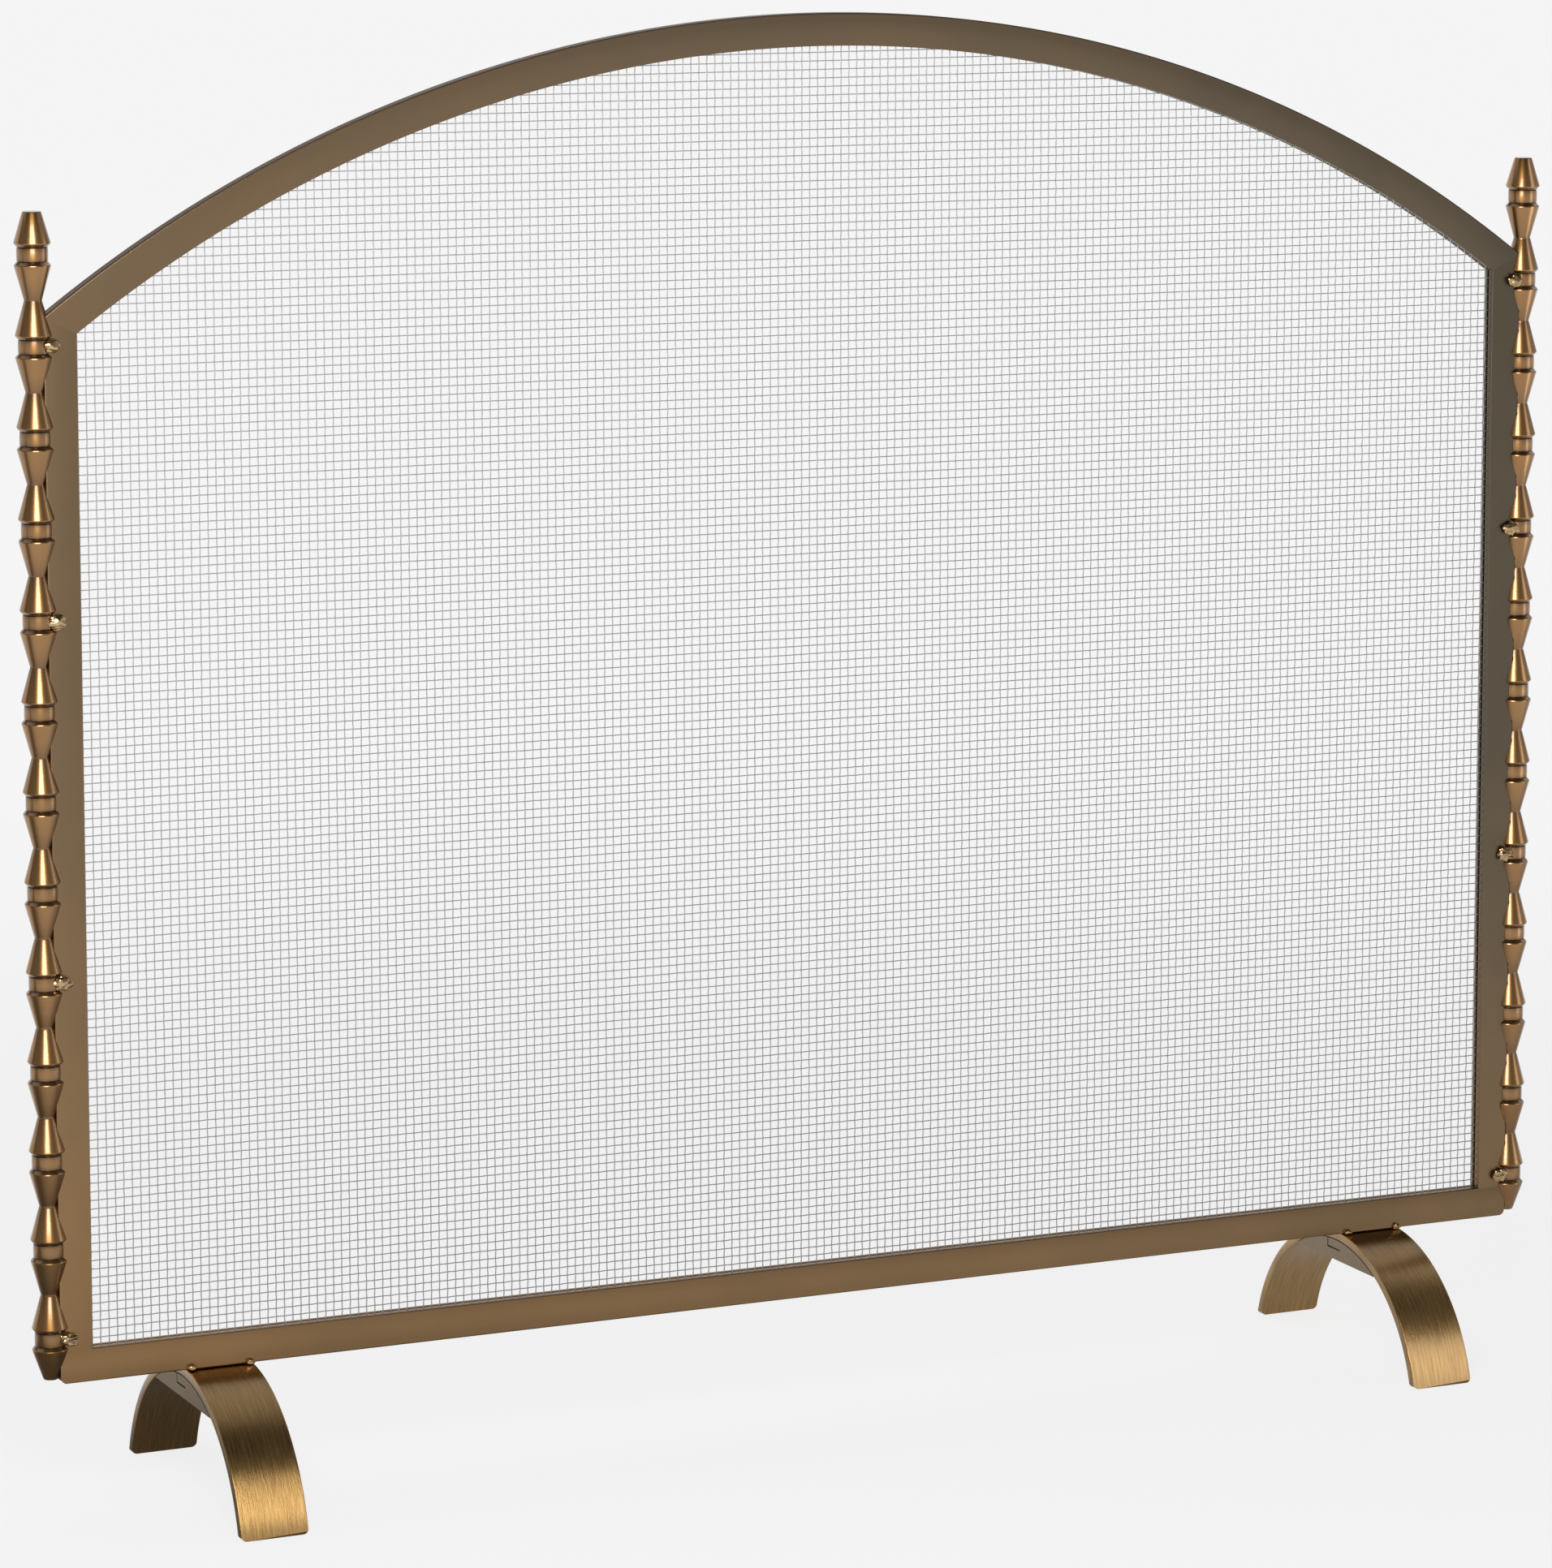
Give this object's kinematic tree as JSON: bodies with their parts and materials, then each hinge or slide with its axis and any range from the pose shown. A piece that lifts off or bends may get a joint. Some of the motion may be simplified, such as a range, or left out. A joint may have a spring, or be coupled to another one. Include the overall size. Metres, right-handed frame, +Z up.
{
  "type": "fireplace screen",
  "caption": "Free-standing arched fireplace screen: woven wire panel in a flat-bar frame between turned posts, on arched strip feet.",
  "frame": {"origin": "on the floor, under the middle of the two feet", "axes": "+X along the width, towards the viewer's right when the front is seen; +Y to the back, towards the fire; +Z up"},
  "size_m": [0.9704, 0.196, 0.8357],
  "materials": {
    "turned_brass": "turned, antique bronze tint, satin",
    "bronzed_frame": "satin antique bronze",
    "brushed_foot": "brushed along its length, antique tint",
    "wire_cloth": "plain woven wire",
    "weld_bead": "bright, lumpy",
    "blackened_screw": "blackened"
  },
  "bodies": {
    "root": {"arch_rail": "bronzed_frame", "arch_rail_retainer": "bronzed_frame", "arch_rail_screw_1": "blackened_screw", "arch_rail_screw_2": "blackened_screw", "arch_rail_screw_3": "blackened_screw", "arch_rail_screw_4": "blackened_screw", "arch_rail_screw_5": "blackened_screw", "bottom_rail": "bronzed_frame", "bottom_rail_retainer": "bronzed_frame", "bottom_rail_screw_1": "blackened_screw", "bottom_rail_screw_2": "blackened_screw", "bottom_rail_screw_3": "blackened_screw", "bottom_rail_screw_4": "blackened_screw", "bottom_rail_screw_5": "blackened_screw", "left_foot": "brushed_foot", "left_foot_inner_gusset": "brushed_foot", "left_foot_outer_gusset": "brushed_foot", "left_foot_weld_back_1": "weld_bead", "left_foot_weld_back_2": "weld_bead", "left_foot_weld_front_1": "weld_bead", "left_foot_weld_front_2": "weld_bead", "left_post": "turned_brass", "left_post_weld_1": "weld_bead", "left_post_weld_2": "weld_bead", "left_post_weld_3": "weld_bead", "left_post_weld_4": "weld_bead", "left_stile": "bronzed_frame", "left_stile_retainer": "bronzed_frame", "left_stile_screw_1": "blackened_screw", "left_stile_screw_2": "blackened_screw", "left_stile_screw_3": "blackened_screw", "right_foot": "brushed_foot", "right_foot_inner_gusset": "brushed_foot", "right_foot_outer_gusset": "brushed_foot", "right_foot_weld_back_1": "weld_bead", "right_foot_weld_back_2": "weld_bead", "right_foot_weld_front_1": "weld_bead", "right_foot_weld_front_2": "weld_bead", "right_post": "turned_brass", "right_post_weld_1": "weld_bead", "right_post_weld_2": "weld_bead", "right_post_weld_3": "weld_bead", "right_post_weld_4": "weld_bead", "right_stile": "bronzed_frame", "right_stile_retainer": "bronzed_frame", "right_stile_screw_1": "blackened_screw", "right_stile_screw_2": "blackened_screw", "right_stile_screw_3": "blackened_screw", "wire_cloth": "wire_cloth"}
  },
  "joints": []
}
